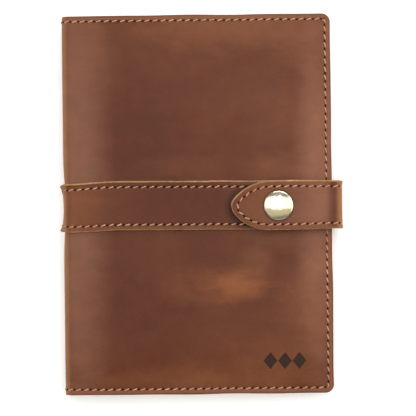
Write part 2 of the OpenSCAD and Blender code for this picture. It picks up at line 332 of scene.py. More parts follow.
def spread(*stops):
    """Values from each stop to the next.
    spread((0, 10), (5, 4), 9) has 10 steps from 0 to 5, then 4 from 5 to 9."""
    out = []
    for (a, n), b in zip(stops, [s[0] if isinstance(s, tuple) else s for s in stops[1:]]):
        out += list(a + (b - a) * np.arange(n) / n)
    last = stops[-1]
    return np.array(out + [last[0] if isinstance(last, tuple) else last])


# How far the cover's cut edges stand out, rounded, and how uneven they are
EDGE, FRAY = 0.45, 0.25
# Where the rows across the cover lie, from the strap's middle outwards, each place with the number of
# steps to the next: few under the strap, and many at the lozenges
ROWS = ((0, 2), (5, 12), (26, 38), (84.5, 32), (96.5, 6))
# Width of the band along the fore edge whose columns follow the round corners
FORE_BAND = 15


def rows_y(edge):
    """Rows across the cover, closer together in its corners and at the lozenges."""
    r = CORNER_R - edge
    arc = HALF_H - edge - r + r * np.sin(spread((0, 10), math.pi / 2))
    half = np.concatenate([spread(*ROWS, HALF_H - edge - r)[:-1], arc])
    shift = STRAP_Y * (1 - half / half[-1])
    return np.concatenate([shift[:0:-1] - half[:0:-1], shift + half])


def row_end(y, right, half, r):
    """Where a row ends at the right edge of a sheet of this half height, round its corners too."""
    over = np.clip(np.abs(y) - (half - r), 0, r)
    return right - r + np.sqrt(np.maximum(r * r - over * over, 0))


def fore_limit(y, edge):
    return row_end(y, FORE_X - edge, HALF_H - edge, CORNER_R - edge)


def frayed(points, seed):
    """The same points, with slightly uneven cut edges at head, foot and fore edge."""
    x, y = points[..., 0], points[..., 1]
    near_end = smooth((np.abs(y) - HALF_H + 9) / 8)
    near_fore = smooth((x - FORE_X + 9) / 8)
    points = points.copy()
    points[..., 1] = y - np.sign(y) * near_end * FRAY * (0.5 + 0.5 * ripple(x, 0 * x, 38, seed))
    points[..., 0] = x - near_fore * FRAY * (0.5 + 0.5 * ripple(0 * y, y, 44, seed + 1))
    return points


def cover_half(name, face, materials):
    y = rows_y(EDGE)
    flat_from = SPINE_X + pinch(y) + FOLD_R
    knee = FORE_X - FORE_BAND
    share = spread((0, 80), (0.8, 70), 1)
    flat = flat_from[None] + (knee - flat_from)[None] * share[:, None]
    tail = spread((0, 10), (0.6, 12), (0.9, 5), 1)[1:]
    edge = knee + (fore_limit(y, EDGE) - knee)[None] * tail[:, None]
    t_flat = panel_t(np.concatenate([flat, edge]), y[None])
    t_fold = np.repeat(spread((0, 8), (1, 12), 2)[:-1, None], len(y), 1)
    t = np.concatenate([t_fold, t_flat])
    yy = np.repeat(y[None], len(t), 0)
    outer = cover_point(t, yy, face)
    inner = cover_point(t, yy, face, groove=False) - COVER_T * cover_normal(t, yy, face)
    seed = face + 40
    return slab(name, frayed(outer, seed), frayed(inner, seed), materials, (0, EDGE, EDGE, EDGE))


# ---- Shape of the strap ----------------------------------

# How far the strap's edge stands out, and how far those of its layers do, towards the foot and the head
STRAP_EDGE = 0.55
LEATHER_EDGES = (0.4, 0.55)
LINING_EDGES = (0.28, 0.92)
ACROSS = spread((-1, 3), (-0.93, 12), (-0.6, 12), (0.6, 12), (0.93, 3), 1)

# At the spine the strap is narrower and pressed thinner, its edges curl up, and it lies a little lower
# and askew
WAIST, PRESSED, CURL, LOWER, ASKEW = 1.4, 0.38, 1.3, 1.3, 0.7
# How uneven its width is, on the cover and on the loop, and over what length
RUN_UNEVEN, LOOP_UNEVEN, UNEVEN_L = 0.08, 0.06, 26
# Gaps between its layers and under it
LAYER_GAP, STRAP_LIFT = 0.02, 0.04


def strap_groove(d):
    return STRAP_GROOVE * bell(d - STITCH_IN, STRAP_GROOVE_W)


def run_frame(t, w, face):
    """Underside point, normal, thickness and half width of the strap on the cover; w is -1 to 1 across."""
    x = SPINE_X + FOLD_R + np.maximum(t - 2, 0)
    near = 1 - smooth((x - SPINE_X - 4) / 26)
    half = HALF_W - STRAP_EDGE - 0.1 * near - WAIST * (1 - smooth(t / 1.8))
    half = half - RUN_UNEVEN - RUN_UNEVEN * ripple(x, 30 * np.sign(w), UNEVEN_L, 5 + face)
    along = (x - SPINE_X) / (FORE_X - SPINE_X)
    askew = 1 - along if face > 0 else 1 - smooth(along * 2.5)
    y = STRAP_Y + ASKEW * askew - LOWER * near + w * half
    thick = STRAP_T * (1 - PRESSED * (1 - smooth((x - SPINE_X - 5) / 16)))
    base = cover_point(t, y, face, groove=False)
    normal = cover_normal(t, y, face)
    lift = STRAP_LIFT + CURL * np.abs(w) ** 6 * (1 - smooth((t - 1.2) / 6))
    return base + normal * lift[..., None], normal, thick, half


def run_layers(t, face):
    """Four grids of points for a stretch of strap along the cover: the outer leather's two faces, then
    the lining's."""
    tt, ww = np.meshgrid(t, ACROSS, indexing="ij")
    base, normal, thick, half = run_frame(tt, ww, face)
    split = LINING_T / STRAP_T * thick
    dip = strap_groove((1 - np.abs(ww)) * half + STRAP_EDGE)
    heights = [thick - dip, split + LAYER_GAP, split, 0 * thick]
    return [base + normal * h[..., None] for h in heights]


# Places along the strap's loop beside the fore edge, in millimetres from x = 0 on the back run: it goes
# round the low bend to S_WALL, up to S_HIGH and round the high bend to S_TAB. S_SIDE is halfway up
LOOP_FLAT = LOOP_X - BEND_R
LOOP_ARC = BEND_R * math.pi / 2
LOOP_WALL = TAB_Z - 2 * BEND_R
S_WALL = LOOP_FLAT + LOOP_ARC
S_HIGH = LOOP_FLAT + LOOP_ARC + LOOP_WALL
S_TAB = LOOP_FLAT + 2 * LOOP_ARC + LOOP_WALL
S_SIDE = LOOP_FLAT + LOOP_ARC + LOOP_WALL / 2


def loop_path(s):
    """Point on the outer face of the strap's loop and tab, at the strap's middle line, and its normal."""
    turns = [np.clip((s - start) / LOOP_ARC, 0, 1) * math.pi / 2 for start in (LOOP_FLAT, S_HIGH)]
    a = turns[0] + turns[1]
    low, high = a < math.pi / 2 + 1e-9, s > S_HIGH
    cz = np.where(high, TAB_Z - BEND_R, BEND_R)
    x = np.where(s < LOOP_FLAT, s, LOOP_FLAT + BEND_R * np.sin(a))
    x = np.where(s > S_TAB, LOOP_FLAT - (s - S_TAB), x)
    z = cz - BEND_R * np.cos(a) + np.where(low & ~high, np.clip(s - S_WALL, 0, LOOP_WALL), 0)
    normal = np.stack([np.sin(a), 0 * a, -np.cos(a)], -1)
    return np.stack([x, 0 * x, z], -1), normal


# The tab's point hangs towards the foot, the tab sags between its bend and the stud, its tip lies
# lower, and it is pressed down round the cap. The loop is narrower, and its edges curl
TAB_DROP, TAB_SAG, TIP_SINK = 0.5, 0.35, 1.1
CAP_RING, CAP_RING_W = 0.3, 1.4
LOOP_NARROW, LOOP_CURL = 0.35, 0.4


def tab_drop(x):
    """How far the tab hangs towards the foot."""
    return TAB_DROP * smooth((POINT_X + 8 - x) / 26)


def tab_half(x, shrink):
    """Half width at x of the tab's outline, made smaller all round by shrink, and x of its tip."""
    r = TAB_R - shrink
    low = HALF_W - TAB_R
    ogive = np.sqrt(np.maximum(r * r - np.maximum(POINT_X - x, 0) ** 2, 0)) + low
    nose = NOSE_R - shrink
    nose_x = POINT_X - math.sqrt((TAB_R - NOSE_R) ** 2 - low * low)
    touch = nose_x - nose * (POINT_X - nose_x) / (TAB_R - NOSE_R)
    circle = np.sqrt(np.maximum(nose * nose - (x - nose_x) ** 2, 0))
    return np.where(x < touch, circle, ogive), nose_x - nose


def tab_inset(x, dy):
    """Distance inwards from the tab's outline, dy millimetres from its middle line."""
    low = HALF_W - TAB_R
    point = TAB_R - np.hypot(np.maximum(POINT_X - x, 0), np.abs(dy) - low)
    return np.where(x < POINT_X, point, HALF_W - np.abs(dy))


def loop_layers(s, tab):
    """Four grids of points for a stretch of the strap's loop, as run_layers makes for the runs."""
    ss, ww = np.meshgrid(s, ACROSS, indexing="ij")
    point, normal = loop_path(ss)
    x = point[..., 0]
    turn = smooth((ss - LOOP_FLAT + 14) / 14) * (1 - smooth((ss - S_TAB) / 24))
    half = HALF_W - STRAP_EDGE - LOOP_NARROW * turn - 0.04
    half = half - LOOP_UNEVEN * ripple(ss, 30 * np.sign(ww), UNEVEN_L, 8)
    on_tab = ss > S_TAB
    limit = tab_half(x, STRAP_EDGE)[0]
    half = np.where(on_tab & (x < POINT_X + 6), np.minimum(half, limit), half)
    y = STRAP_Y + ww * half - tab_drop(x) * on_tab
    place = point.copy()
    place[..., 1] = y
    lift = LOOP_CURL * np.abs(ww) ** 6 * turn
    if tab:
        far = np.where(on_tab, LOOP_FLAT - x, 0)
        sag = TAB_SAG * np.sin(np.clip(far / (LOOP_FLAT - STUD_X), 0, 1) * math.pi)
        tip = TIP_SINK * smooth((STUD_X - CAP_R - x) / 22) * on_tab
        ring = CAP_RING * bell(np.hypot(x - STUD_X, y - STRAP_Y) - CAP_R, CAP_RING_W) * on_tab
        lift = lift - sag - tip - ring + 0.08 * ripple(x, y, 18, 77) * on_tab
    else:
        away = cover_point(panel_t(np.minimum(x, FORE_X - 20), y), y, -1, groove=False)[..., 2] - STRAP_T
        lift = lift - away * (1 - smooth((x - 20) / 30)) * (ss < LOOP_FLAT)
    d = (1 - np.abs(ww)) * half + STRAP_EDGE
    dip = strap_groove(np.where(on_tab & (x < POINT_X), tab_inset(x, y - STRAP_Y + tab_drop(x)), d))
    outer_t = STRAP_T - LINING_T
    heights = [lift - dip, lift - outer_t, lift - outer_t - LAYER_GAP, lift - STRAP_T + STRAP_LIFT]
    return [place + normal * h[..., None] for h in heights]


# ---- Stitching -------------------------------------------


# Steps of the line of stitching to each stitch
PARTS = 8
THREAD_R = 0.4
# How far each end of a stitch stops short of the middle of its hole, and goes down into it
HOLE_GAP, HOLE_DIP = 0.8, 0.35
STRANDS, TWIST = 3, 5.5
TABLE_GAP = 0.02


def resampled(points, normals):
    """The same line in equal steps, for whole stitches of about the pitch."""
    run = np.concatenate([[0], np.cumsum(np.linalg.norm(np.diff(points, axis=0), axis=1))])
    at = np.linspace(0, run[-1], max(1, round(run[-1] / PITCH)) * PARTS + 1)
    return between(at, run, points), unit(between(at, run, normals))


def stitch(points, normals, rng):
    """Tube of twisted thread from one hole to the next, its ends going down into them."""
    around, along = 12, 9
    a = np.arange(around) * 2 * math.pi / around
    f = np.linspace(0, 1, along)
    span = np.linalg.norm(points[-1] - points[0])
    at = (HOLE_GAP + f * (span - 2 * HOLE_GAP)) / span * PARTS
    steps = np.arange(PARTS + 1)
    line, n = between(at, steps, points), unit(between(at, steps, normals))
    s = unit(np.cross(n, np.gradient(line, axis=0)))
    arch = np.sin(f * math.pi) ** 0.6
    lean, high = rng.uniform(0.47, 0.62), rng.uniform(0.22, 0.33)
    line = line + s * (lean * (2 * f - 1))[:, None] + n * (arch * (high + HOLE_DIP) - HOLE_DIP)[:, None]
    way = unit(np.gradient(line, axis=0))
    side = unit(np.cross(n, way))
    up = np.cross(way, side)
    twist = np.cos(STRANDS * (a[None] - TWIST * f[:, None]))
    r = THREAD_R * (0.72 + 0.28 * arch[:, None]) * (1 + 0.14 * twist)
    tube = side[:, None] * (r * np.cos(a))[..., None] + up[:, None] * (0.82 * r * np.sin(a))[..., None]
    faces = grid_faces(along, around)
    wrap = np.arange(along - 1) * around
    wrapped = np.stack([wrap + around - 1, wrap + 2 * around - 1, wrap + around, wrap], 1)
    faces = np.concatenate([faces, wrapped])
    ends = [list(range(around))[::-1], list(range((along - 1) * around, along * around))]
    faces = faces[:, ::-1].tolist() + ends
    return (line[:, None] + tube).reshape(-1, 3), faces


def needle_hole(p, n, t, rng):
    """Small dark disc that just covers the leather, painted shade for the inside of the hole."""
    around = 10
    s = unit(np.cross(n, t))
    b = np.arange(around) * 2 * math.pi / around
    wide = rng.uniform(0.76, 0.92)
    disc = t * np.cos(b)[:, None] + s * np.sin(b)[:, None] * 0.95
    rings = [p + n * h + disc * wide * m for h, m in ((-0.3, 1.0), (0.07, 0.95), (0.1, 0.6))]
    u = np.arange(around)
    v = (u + 1) % around
    faces = [np.stack([k + u, k + v, k + around + v, k + around + u], 1).tolist() for k in (0, around)]
    faces = faces[0] + faces[1] + [[2 * around + i, 2 * around + j, 3 * around] for i, j in zip(u, v)]
    return np.concatenate([*rings, (p + n * 0.1)[None]]), faces + [u[::-1].tolist()]


def sew(name, rows, seed):
    """One mesh of the stitches of each row and the holes between them, none of it below the table."""
    rng = np.random.default_rng(seed)
    verts, faces, kinds, count = [], [], [], 0
    for points, normals in rows:
        for k in range(0, len(points), PARTS):
            t = unit(points[min(k + 1, len(points) - 1)] - points[max(k - 1, 0)])
            made = [needle_hole(points[k], normals[k], t, rng)]
            if k + PARTS < len(points):
                made.append(stitch(points[k : k + PARTS + 1], normals[k : k + PARTS + 1], rng))
            for kind, (v, f) in zip((1, 0), made):
                verts.append(v)
                faces += [[i + count for i in face] for face in f]
                kinds += [kind] * len(f)
                count += len(v)
    verts = np.concatenate(verts)
    verts[:, 2] = np.maximum(verts[:, 2], TABLE_GAP)
    return mesh_object(name, verts, faces, [thread, hole], kinds)


def cover_row(face, depth=None):
    """Line of stitching round a cover half, from the spine along the head, fore edge and foot.
    depth moves it to the inside: a function of the points that says how far."""
    end, fore = HALF_H - STITCH_IN, FORE_X - STITCH_IN
    r = CORNER_R - STITCH_IN
    fold = spread((0.06, 8), (1, 10), 2)
    head = np.linspace(SPINE_X + FOLD_R + 0.2, fore - r, 90)
    a = np.linspace(0, math.pi / 2, 8)[1:]
    down = np.linspace(end - r, 0, 70)[1:]
    x = np.concatenate([head, fore - r + r * np.sin(a), fore + 0 * down])
    y = np.concatenate([end + 0 * head, end - r + r * np.cos(a), down])
    t, y = np.concatenate([fold, panel_t(x, y)]), np.concatenate([end + 0 * fold, y])
    t, y = np.concatenate([t, t[-2::-1]]), np.concatenate([y, -y[-2::-1]])
    points, normals = cover_point(t, y, face), cover_normal(t, y, face)
    if depth is not None:
        points = cover_point(t, y, face, groove=False)
        points = points - normals * depth(points)[:, None]
        normals = -normals
    return resampled(points, normals)


# ---- Materials -------------------------------------------


# Scales of the noise in the materials, for places in metres
CLOUDS, MOTTLE, CREASES, GRAIN, PORES = 13, 95, 260, 1500, 1100
FIBRES, FIBRE_PATCHES, SHEETS, PAPER, WEAR, FINISH = 420, 40, 5200, 60, 300, 900
STAMP_BUMP = 2.0


def new_material(name):
    made = bpy.data.materials.new(name)
    made.use_nodes = True
    tree = made.node_tree
    tree.nodes.clear()
    out = tree.nodes.new("ShaderNodeOutputMaterial")
    shader = tree.nodes.new("ShaderNodeBsdfPrincipled")
    tree.links.new(shader.outputs[0], out.inputs["Surface"])
    return made, tree, shader


def set_inputs(node, values):
    for name, value in values.items():
        node.inputs[name].default_value = value


def put(tree, socket, value):
    """Links a socket to another, or gives it a plain value."""
    if isinstance(value, bpy.types.NodeSocket):
        tree.links.new(value, socket)
    elif value is not None:
        socket.default_value = value


def rest_place(tree):
    node = tree.nodes.new("ShaderNodeAttribute")
    node.attribute_name = "rest_place"
    return node.outputs["Vector"]


def noise(tree, place, scale, detail, rough, distortion=0.0):
    node = tree.nodes.new("ShaderNodeTexNoise")
    put(tree, node.inputs["Vector"], place)
    set_inputs(node, {"Scale": scale, "Detail": detail, "Roughness": rough, "Distortion": distortion})
    return node.outputs["Fac"]


def vector_maths(tree, operation, a, b=None, output="Vector"):
    node = tree.nodes.new("ShaderNodeVectorMath")
    node.operation = operation
    put(tree, node.inputs[0], a)
    put(tree, node.inputs[1], b)
    return node.outputs[output]


def stretched(tree, place, scale):
    return vector_maths(tree, "MULTIPLY", place, scale)


def from_centre(tree, place, x, y, rx, ry):
    """The place measured from a centre, in units of rx and ry (all in millimetres)."""
    moved = vector_maths(tree, "SUBTRACT", place, (x * MM, y * MM, 0))
    return stretched(tree, moved, (1 / (rx * MM), 1 / (ry * MM), 0))


def mapped(tree, value, start, end, interpolation="LINEAR"):
    """0 where the value is at start, 1 where it is at end."""
    node = tree.nodes.new("ShaderNodeMapRange")
    node.interpolation_type = interpolation
    put(tree, node.inputs["Value"], value)
    set_inputs(node, {"From Min": start, "From Max": end})
    return node.outputs["Result"]


def ramp(tree, fac, *stops):
    node = tree.nodes.new("ShaderNodeValToRGB")
    put(tree, node.inputs["Fac"], fac)
    keys = node.color_ramp.elements
    while len(keys) < len(stops):
        keys.new(0.5)
    for key, (at, colour) in zip(keys, stops):
        key.position = at
        key.color = (*colour, 1) if isinstance(colour, tuple) else (colour, colour, colour, 1)
    return node.outputs["Color"]


def mix(tree, fac, a, b, blend="MIX"):
    node = tree.nodes.new("ShaderNodeMix")
    node.data_type = "RGBA"
    node.blend_type = blend
    put(tree, node.inputs["Factor"], fac)
    put(tree, node.inputs[6], (*a, 1) if isinstance(a, tuple) else a)
    put(tree, node.inputs[7], (*b, 1) if isinstance(b, tuple) else b)
    return node.outputs[2]


def maths(tree, operation, a, b=None):
    node = tree.nodes.new("ShaderNodeMath")
    node.operation = operation
    put(tree, node.inputs[0], a)
    put(tree, node.inputs[1], b)
    return node.outputs[0]


def bump(tree, shader, height, strength, depth):
    node = tree.nodes.new("ShaderNodeBump")
    set_inputs(node, {"Strength": strength, "Distance": depth})
    put(tree, node.inputs["Height"], height)
    put(tree, shader.inputs["Normal"], node.outputs["Normal"])


def blotch(tree, place, x, y, rx, ry, uneven, solid=0.1):
    """1 in the middle of an uneven oval centred there (millimetres), fading to 0 outside it."""
    away = vector_maths(tree, "LENGTH", from_centre(tree, place, x, y, rx, ry), output="Value")
    rough = noise(tree, stretched(tree, place, (0.4, 1, 1)), MOTTLE, 6, 0.62)
    away = maths(tree, "ADD", away, maths(tree, "MULTIPLY", rough, uneven))
    return mapped(tree, away, 1.0 + uneven * 0.5, uneven * 0.5 + solid, "SMOOTHSTEP")


def lozenges(tree, place):
    """1 inside the row of three lozenges pressed into the front cover, 0 outside."""
    total = None
    for x in STAMP_X:
        bare = vector_maths(tree, "ABSOLUTE", from_centre(tree, place, x, STAMP_Y, STAMP_W, STAMP_H))
        away = vector_maths(tree, "DOT_PRODUCT", bare, (1, 1, 0), output="Value")
        mask = mapped(tree, away, 1.04, 0.94)
        total = mask if total is None else maths(tree, "ADD", total, mask)
    return total


def leather(name, dark, mid, light, wear_and_painted_light=(), rough=0.38, stamped=False):
    """Oiled leather: cloudy colour, lighter where it was bent or rubbed, with painted sheen, highlights and
    shade laid over it, fine grain.
    """
    made, tree, shader = new_material(name)
    place = rest_place(tree)
    cloud = noise(tree, place, CLOUDS, 5, 0.55, 0.7)
    colour = ramp(tree, cloud, (0.3, dark), (0.52, mid), (0.74, light))
    # Each oval paints wear, or a painted sheen, highlight or shade, into the colour
    for x, y, rx, ry, tone, amount, *edge in wear_and_painted_light:
        mask = maths(tree, "MULTIPLY", blotch(tree, place, x, y, rx, ry, *edge), amount)
        colour = mix(tree, mask, colour, tone)
    small = noise(tree, place, MOTTLE, 5, 0.6, 0.3)
    colour = mix(tree, 1.0, colour, ramp(tree, small, (0.25, 0.87), (0.75, 1.12)), "MULTIPLY")
    fine = noise(tree, place, GRAIN, 3, 0.6)
    colour = mix(tree, 1.0, colour, ramp(tree, fine, (0.3, 0.93), (0.7, 1.05)), "MULTIPLY")
    pores = tree.nodes.new("ShaderNodeTexVoronoi")
    pores.feature = "SMOOTH_F1"
    put(tree, pores.inputs["Vector"], place)
    pores.inputs["Scale"].default_value = PORES
    height = maths(tree, "ADD", maths(tree, "MULTIPLY", pores.outputs["Distance"], 0.6), fine)
    creases = noise(tree, place, CREASES, 4, 0.6)
    height = maths(tree, "ADD", height, maths(tree, "MULTIPLY", creases, 1.4))
    if stamped:
        stamp = lozenges(tree, place)
        colour = mix(tree, maths(tree, "MULTIPLY", stamp, 0.92), colour, STAMP_TONE)
        height = maths(tree, "SUBTRACT", height, maths(tree, "MULTIPLY", stamp, STAMP_BUMP))
    put(tree, shader.inputs["Base Color"], colour)
    put(tree, shader.inputs["Roughness"], ramp(tree, small, (0.2, rough - 0.05), (0.8, rough + 0.07)))
    shader.inputs["Specular IOR Level"].default_value = 0.12
    bump(tree, shader, height, 0.2, 0.00022)
    return made


def fibres(name, dark, light, rough=0.85, scale=(1, 1, 6), patchy=(0.82, 1.12), shine=0.25):
    """Cut edge or flesh side of leather, and other matt fibrous stuff."""
    made, tree, shader = new_material(name)
    place = rest_place(tree)
    coarse = noise(tree, stretched(tree, place, scale), FIBRES, 5, 0.65)
    colour = ramp(tree, coarse, (0.3, dark), (0.7, light))
    patch = noise(tree, place, FIBRE_PATCHES, 4, 0.6)
    colour = mix(tree, 1.0, colour, ramp(tree, patch, (0.3, patchy[0]), (0.7, patchy[1])), "MULTIPLY")
    put(tree, shader.inputs["Base Color"], colour)
    set_inputs(shader, {"Roughness": rough, "Specular IOR Level": shine})
    bump(tree, shader, coarse, 0.4, 0.0003)
    return made


def metal(name, colour, tint, rough):
    """Polished metal, its colour changing a little to tint where it is worn."""
    made, tree, shader = new_material(name)
    coords = tree.nodes.new("ShaderNodeTexCoord").outputs["Object"]
    wear = noise(tree, coords, WEAR, 4, 0.6)
    put(tree, shader.inputs["Base Color"], ramp(tree, wear, (0.3, tint), (0.7, colour)))
    put(tree, shader.inputs["Roughness"], ramp(tree, wear, (0.3, rough), (0.7, rough + 0.05)))
    shader.inputs["Metallic"].default_value = 1.0
    bump(tree, shader, noise(tree, coords, FINISH, 2, 0.5), 0.004, 0.0001)
    return made


# Colours of the leather: three of its clouds, then of painted shade, of the places that are worn, of
# painted sheen, of the painted highlight on the rims, and of folds, paler and with a painted highlight
DARK, MID, LIGHT = (0.089, 0.0225, 0.0086), (0.113, 0.0312, 0.0122), (0.134, 0.041, 0.0165)
PAINTED_SHADE = (0.03, 0.0085, 0.004)
TAN, RUBBED = (0.18, 0.062, 0.0255), (0.27, 0.088, 0.03)
SHEEN, SPINE_SHEEN = (0.245, 0.098, 0.056), (0.195, 0.08, 0.046)
RIM_HIGHLIGHT, FOLD_PALE_AND_HIGHLIGHT = (0.22, 0.085, 0.04), (0.34, 0.15, 0.066)

# What is worn, and the painted sheen, highlights and shade, in layers: centre x and y, half width, half
# height, colour, how strongly, how uneven, and how much of the oval is solid. The largest sizes run off the
# leather
RIM_IN, ENDLESS = 1.8, 600
cover_rims = [
    # Painted highlight along the rolled fore edge, head and foot
    (FORE_X - RIM_IN, 0, 1.6, ENDLESS, RIM_HIGHLIGHT, 0.8, 0.3),
    (0, HALF_H - RIM_IN, ENDLESS, 1.6, RIM_HIGHLIGHT, 0.8, 0.3),
    (0, RIM_IN - HALF_H, ENDLESS, 1.6, RIM_HIGHLIGHT, 0.8, 0.3),
    # The spine's fold painted paler, with a painted highlight
    (SPINE_X + 1, 0, 3.2, ENDLESS, FOLD_PALE_AND_HIGHLIGHT, 0.8, 0.3),
]
front_leather = leather(
    "front_leather", DARK, MID, LIGHT, stamped=True,
    wear_and_painted_light=[
        (-36, 34, 46, 52, DARK, 0.9, 0.5),
        (-36, -62, 40, 46, DARK, 0.7, 0.5),
        # Paler leather at the head, partly a painted highlight where the panel rolls off towards the head
        (26, 103, 90, 19, TAN, 1.0, 0.8),
        (-64, 84, 26, 34, TAN, 0.6, 0.7),
        (60, 92, 24, 24, TAN, 0.6, 0.8),
        (6, -102, 96, 14, TAN, 0.8, 0.8),
        (44, -88, 36, 18, TAN, 0.5, 0.9),
        (46, 21, 26, 13, TAN, 0.7, 0.9),
        (-8, 22, 40, 10, TAN, 0.25, 0.9),
        (46, -20, 28, 11, TAN, 0.7, 0.9),
        (48, 46, 30, 34, TAN, 0.35, 0.9),
        (58, -58, 22, 30, TAN, 0.6, 0.9),
        (32, -33, 14, 24, TAN, 0.5, 1.1),
        (4, -46, 36, 16, RUBBED, 0.26, 1.5),
        (23, -48, 28, 13, RUBBED, 0.45, 1.3),
        (23, -47, 19, 7.5, RUBBED, 0.45, 1.1),
        # Painted sheen in a band beside the fore edge and one beside the spine, where the panel curves
        (68, 4, 17, 150, SHEEN, 0.9, 0.3),
        (-71, 4, 24, 220, SPINE_SHEEN, 1.0, 0.3),
        *cover_rims,
    ],
)
back_leather = leather(
    "back_leather", DARK, MID, LIGHT,
    wear_and_painted_light=[
        (-20, 30, 34, 16, RUBBED, 0.4, 1.2),
        (36, -70, 40, 20, TAN, 0.5, 1.0),
        # Painted sheen in a band beside the fore edge and one beside the spine, where the panel curves
        (68, 4, 17, 150, SHEEN, 0.6, 0.3),
        (-72, 4, 20, 170, SPINE_SHEEN, 0.8, 0.3),
        *cover_rims,
    ],
)
strap_wear_and_painted_light = [
    (-74, STRAP_Y, 27, 30, TAN, 1.0, 0.6),
    (-8, STRAP_Y, 46, 34, DARK, 0.8, 0.5),
    (34, STRAP_Y, 24, 34, TAN, 0.8, 0.8),
    (60, STRAP_Y + 13, 40, 7, TAN, 0.8, 0.8),
    # Painted sheen on the tab, to the right of the cap
    (57, STRAP_Y - 2, 15, 26, SHEEN, 0.5, 0.6),
    (69, STRAP_Y, 15, 26, SHEEN, 0.85, 0.4),
    (76.6, STRAP_Y, 4.5, 60, DARK, 0.6, 0.3),
    # Painted shade along the strap's upper edge
    (-40, STRAP_Y + 12.9, 70, 2.2, DARK, 0.5, 0.4),
    (0, STRAP_Y - 12.9, ENDLESS, 2.6, TAN, 0.8, 0.5),
    # Both folds of the strap, at the spine and round the loop, painted paler with a painted highlight
    (SPINE_X + 0.4, STRAP_Y, 3, 60, FOLD_PALE_AND_HIGHLIGHT, 0.9, 0.2),
    (LOOP_X - 0.6, STRAP_Y, 4.4, 60, FOLD_PALE_AND_HIGHLIGHT, 0.95, 0.2),
]
# Painted shadow of the tab's tip on the strap: a dark oval with its middle painted back to the leather's
# colour, leaving a crescent round the tip
painted_tab_shadow = [
    (TAB_TIP + 11.2, STRAP_Y - 0.5, 15.5, 15.5, PAINTED_SHADE, 0.85, 0.12, 0.6),
    (TAB_TIP + 15.7, STRAP_Y, 14, 14, MID, 0.9, 0.3, 0.4),
]
# Painted contact shade in a thin ring round the stud's cap
painted_cap_shade = (STUD_X, STRAP_Y, CAP_R + 0.9, CAP_R + 0.9, PAINTED_SHADE, 0.8, 0.05, 0.9)
run_leather = leather("run_leather", DARK, MID, LIGHT, wear_and_painted_light=[*strap_wear_and_painted_light, *painted_tab_shadow])
strap_leather = leather("strap_leather", DARK, MID, LIGHT, wear_and_painted_light=[*strap_wear_and_painted_light, painted_cap_shade])
flesh = fibres("flesh_side", (0.25, 0.13, 0.07), (0.36, 0.2, 0.115), scale=(1, 1, 1))
pocket_tones = (0.2, 0.085, 0.04), (0.24, 0.105, 0.052), (0.3, 0.14, 0.075)
pocket_leather = leather("pocket_leather", *pocket_tones, rough=0.6)
burnished = fibres("burnished_edge", (0.13, 0.038, 0.016), (0.22, 0.075, 0.03), rough=0.5)
raw_edge = fibres("raw_edge", (0.22, 0.105, 0.045), (0.64, 0.37, 0.165), rough=0.7, patchy=(0.6, 1.15))
thread = fibres("thread", (0.36, 0.175, 0.11), (0.66, 0.38, 0.275), rough=0.65)
# The needle holes' near-black is painted shade for their depth
hole = fibres("needle_hole", (0.016, 0.004, 0.0015), (0.028, 0.007, 0.003), rough=1, shine=0)
brass = metal("brass", (0.87, 0.81, 0.62), (0.84, 0.77, 0.56), 0.15)
wire = metal("spring_wire", (0.72, 0.72, 0.72), (0.62, 0.62, 0.62), 0.2)
card = fibres("board", (0.022, 0.015, 0.011), (0.05, 0.034, 0.024), rough=0.7, scale=(1, 1, 1))
binding = fibres("binding", (0.02, 0.014, 0.011), (0.055, 0.036, 0.026), rough=0.9)


def paper():
    """Block of pages: plain cream on its faces, with the fine lines of the sheets on its sides."""
    made, tree, shader = new_material("pages")
    place = rest_place(tree)
    lines = noise(tree, stretched(tree, place, (0.05, 0.05, 1)), SHEETS, 2, 0.5)
    colour = ramp(tree, lines, (0.35, (0.56, 0.5, 0.38)), (0.6, (0.8, 0.75, 0.62)))
    split = tree.nodes.new("ShaderNodeSeparateXYZ")
    put(tree, split.inputs[0], tree.nodes.new("ShaderNodeNewGeometry").outputs["True Normal"])
    up = split.outputs["Z"]
    face = maths(tree, "GREATER_THAN", maths(tree, "MULTIPLY", up, up), 0.5)
    cloudy = noise(tree, place, PAPER, 4, 0.6)
    sheet = ramp(tree, cloudy, (0.3, (0.74, 0.69, 0.56)), (0.7, (0.79, 0.745, 0.62)))
    put(tree, shader.inputs["Base Color"], mix(tree, face, colour, sheet))
    shader.inputs["Roughness"].default_value = 0.85
    bump(tree, shader, maths(tree, "MULTIPLY", lines, maths(tree, "SUBTRACT", 1.0, face)), 0.5, 0.0002)
    return made


pages = paper()


# ---- The pieces ------------------------------------------


def finish_piece(obj, move, slot, *nodes):
    """Attaches the piece to the body it moves with, or for a fold or bend bakes its place into its points,
    and hides the CAD nodes it stands for. slot is not used.
    """
    if move == "front_fold":
        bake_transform(obj)
    elif move == "back_fold":
        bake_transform(obj)
    elif move == "side_bend":
        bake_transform(obj)
    elif move == "tab_bend":
        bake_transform(obj)
    else:
        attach(obj, move)
    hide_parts(*nodes)


# Cover leather, in two pieces that meet along the middle of the spine
finish_piece(
    cover_half("cover_front_leather", 1, [front_leather, flesh, burnished]),
    "front_fold", "cover_leather", "front_panel", "spine_panel",
)
finish_piece(
    cover_half("cover_back_leather", -1, [back_leather, flesh, burnished]),
    "back_fold", "cover_leather", "back_panel", "spine_panel",
)


def inside(x, y):
    """Height of the front's inner face."""
    return TOP_Z - sink(x, y, 1, groove=False) - COVER_T


def level(x, y, z, face):
    """Grid of points at the heights for the front, or mirrored to the back."""
    return np.stack([x, y, MID_Z + face * (z - MID_Z)], -1)


def plan_grid(x_from, edge):
    """Grid of places over the part of the cover from x_from to the fore edge, its corners rounded."""
    y = rows_y(edge)
    share = spread((0, 60), (0.86, 26), 1)
    x = x_from + (fore_limit(y, edge) - x_from)[None] * share[:, None]
    return x, np.repeat(y[None], len(share), 0)


